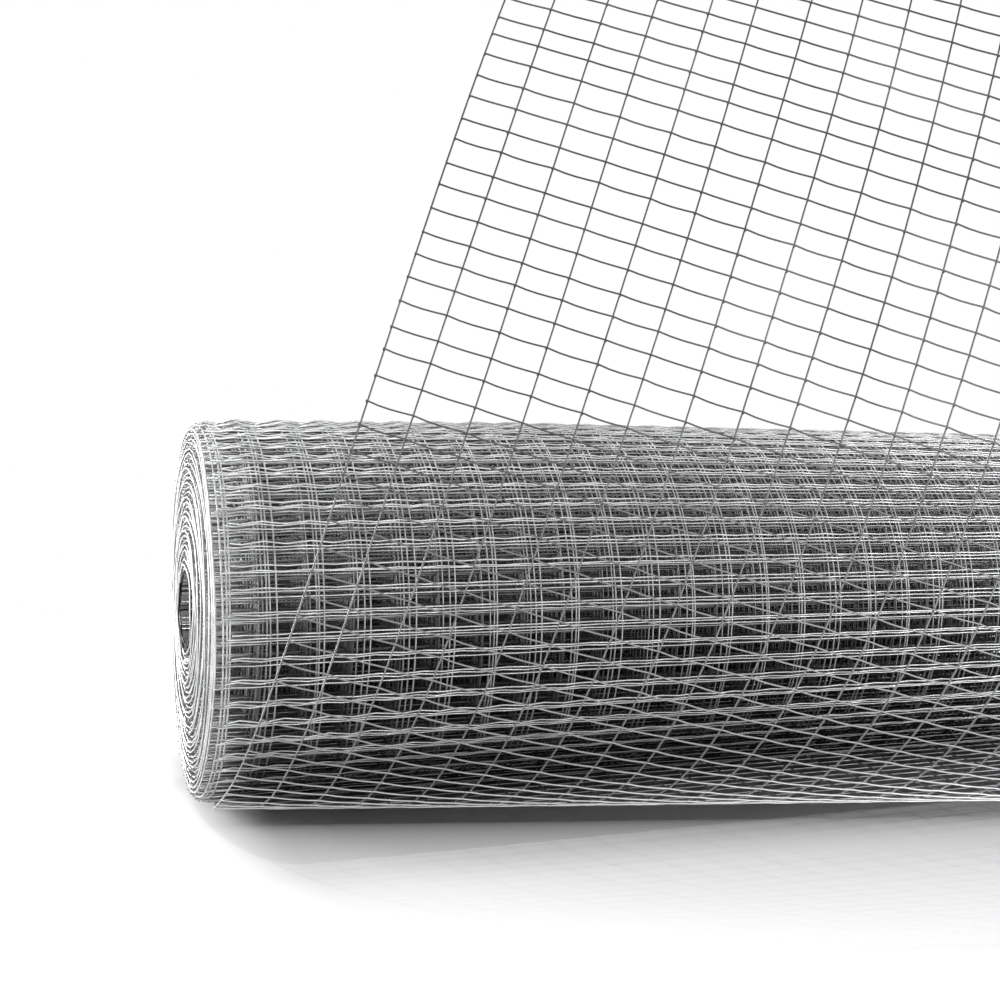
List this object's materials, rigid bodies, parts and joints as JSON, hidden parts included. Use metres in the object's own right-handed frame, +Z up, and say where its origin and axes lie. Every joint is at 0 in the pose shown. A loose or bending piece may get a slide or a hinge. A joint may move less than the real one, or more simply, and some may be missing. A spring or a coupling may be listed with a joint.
{
  "type": "roll of welded wire mesh fencing",
  "caption": "Roll of galvanised welded wire mesh lying on its side, its loose end drawn out underneath, bent up on a skew and standing in front of the roll.",
  "frame": {"origin": "centre of the bore, on the roll's axis at half its length", "axes": "+X along the roll's axis, +Z up, and the loose end is on the -Y side"},
  "size_m": [0.716, 0.5189, 0.531],
  "materials": {
    "galvanised_wire": "galvanised, satin"
  },
  "bodies": {
    "root": {"wound_roll": "galvanised_wire", "loose_end_floor": "galvanised_wire", "loose_end_bend_1": "galvanised_wire", "loose_end_bend_2": "galvanised_wire", "loose_end_bend_3": "galvanised_wire", "loose_end_bend_4": "galvanised_wire", "loose_end_bend_5": "galvanised_wire", "loose_end_bend_6": "galvanised_wire", "loose_end_rise_1": "galvanised_wire", "loose_end_rise_2": "galvanised_wire", "loose_end_rise_3": "galvanised_wire", "loose_end_rise_4": "galvanised_wire"}
  },
  "joints": []
}
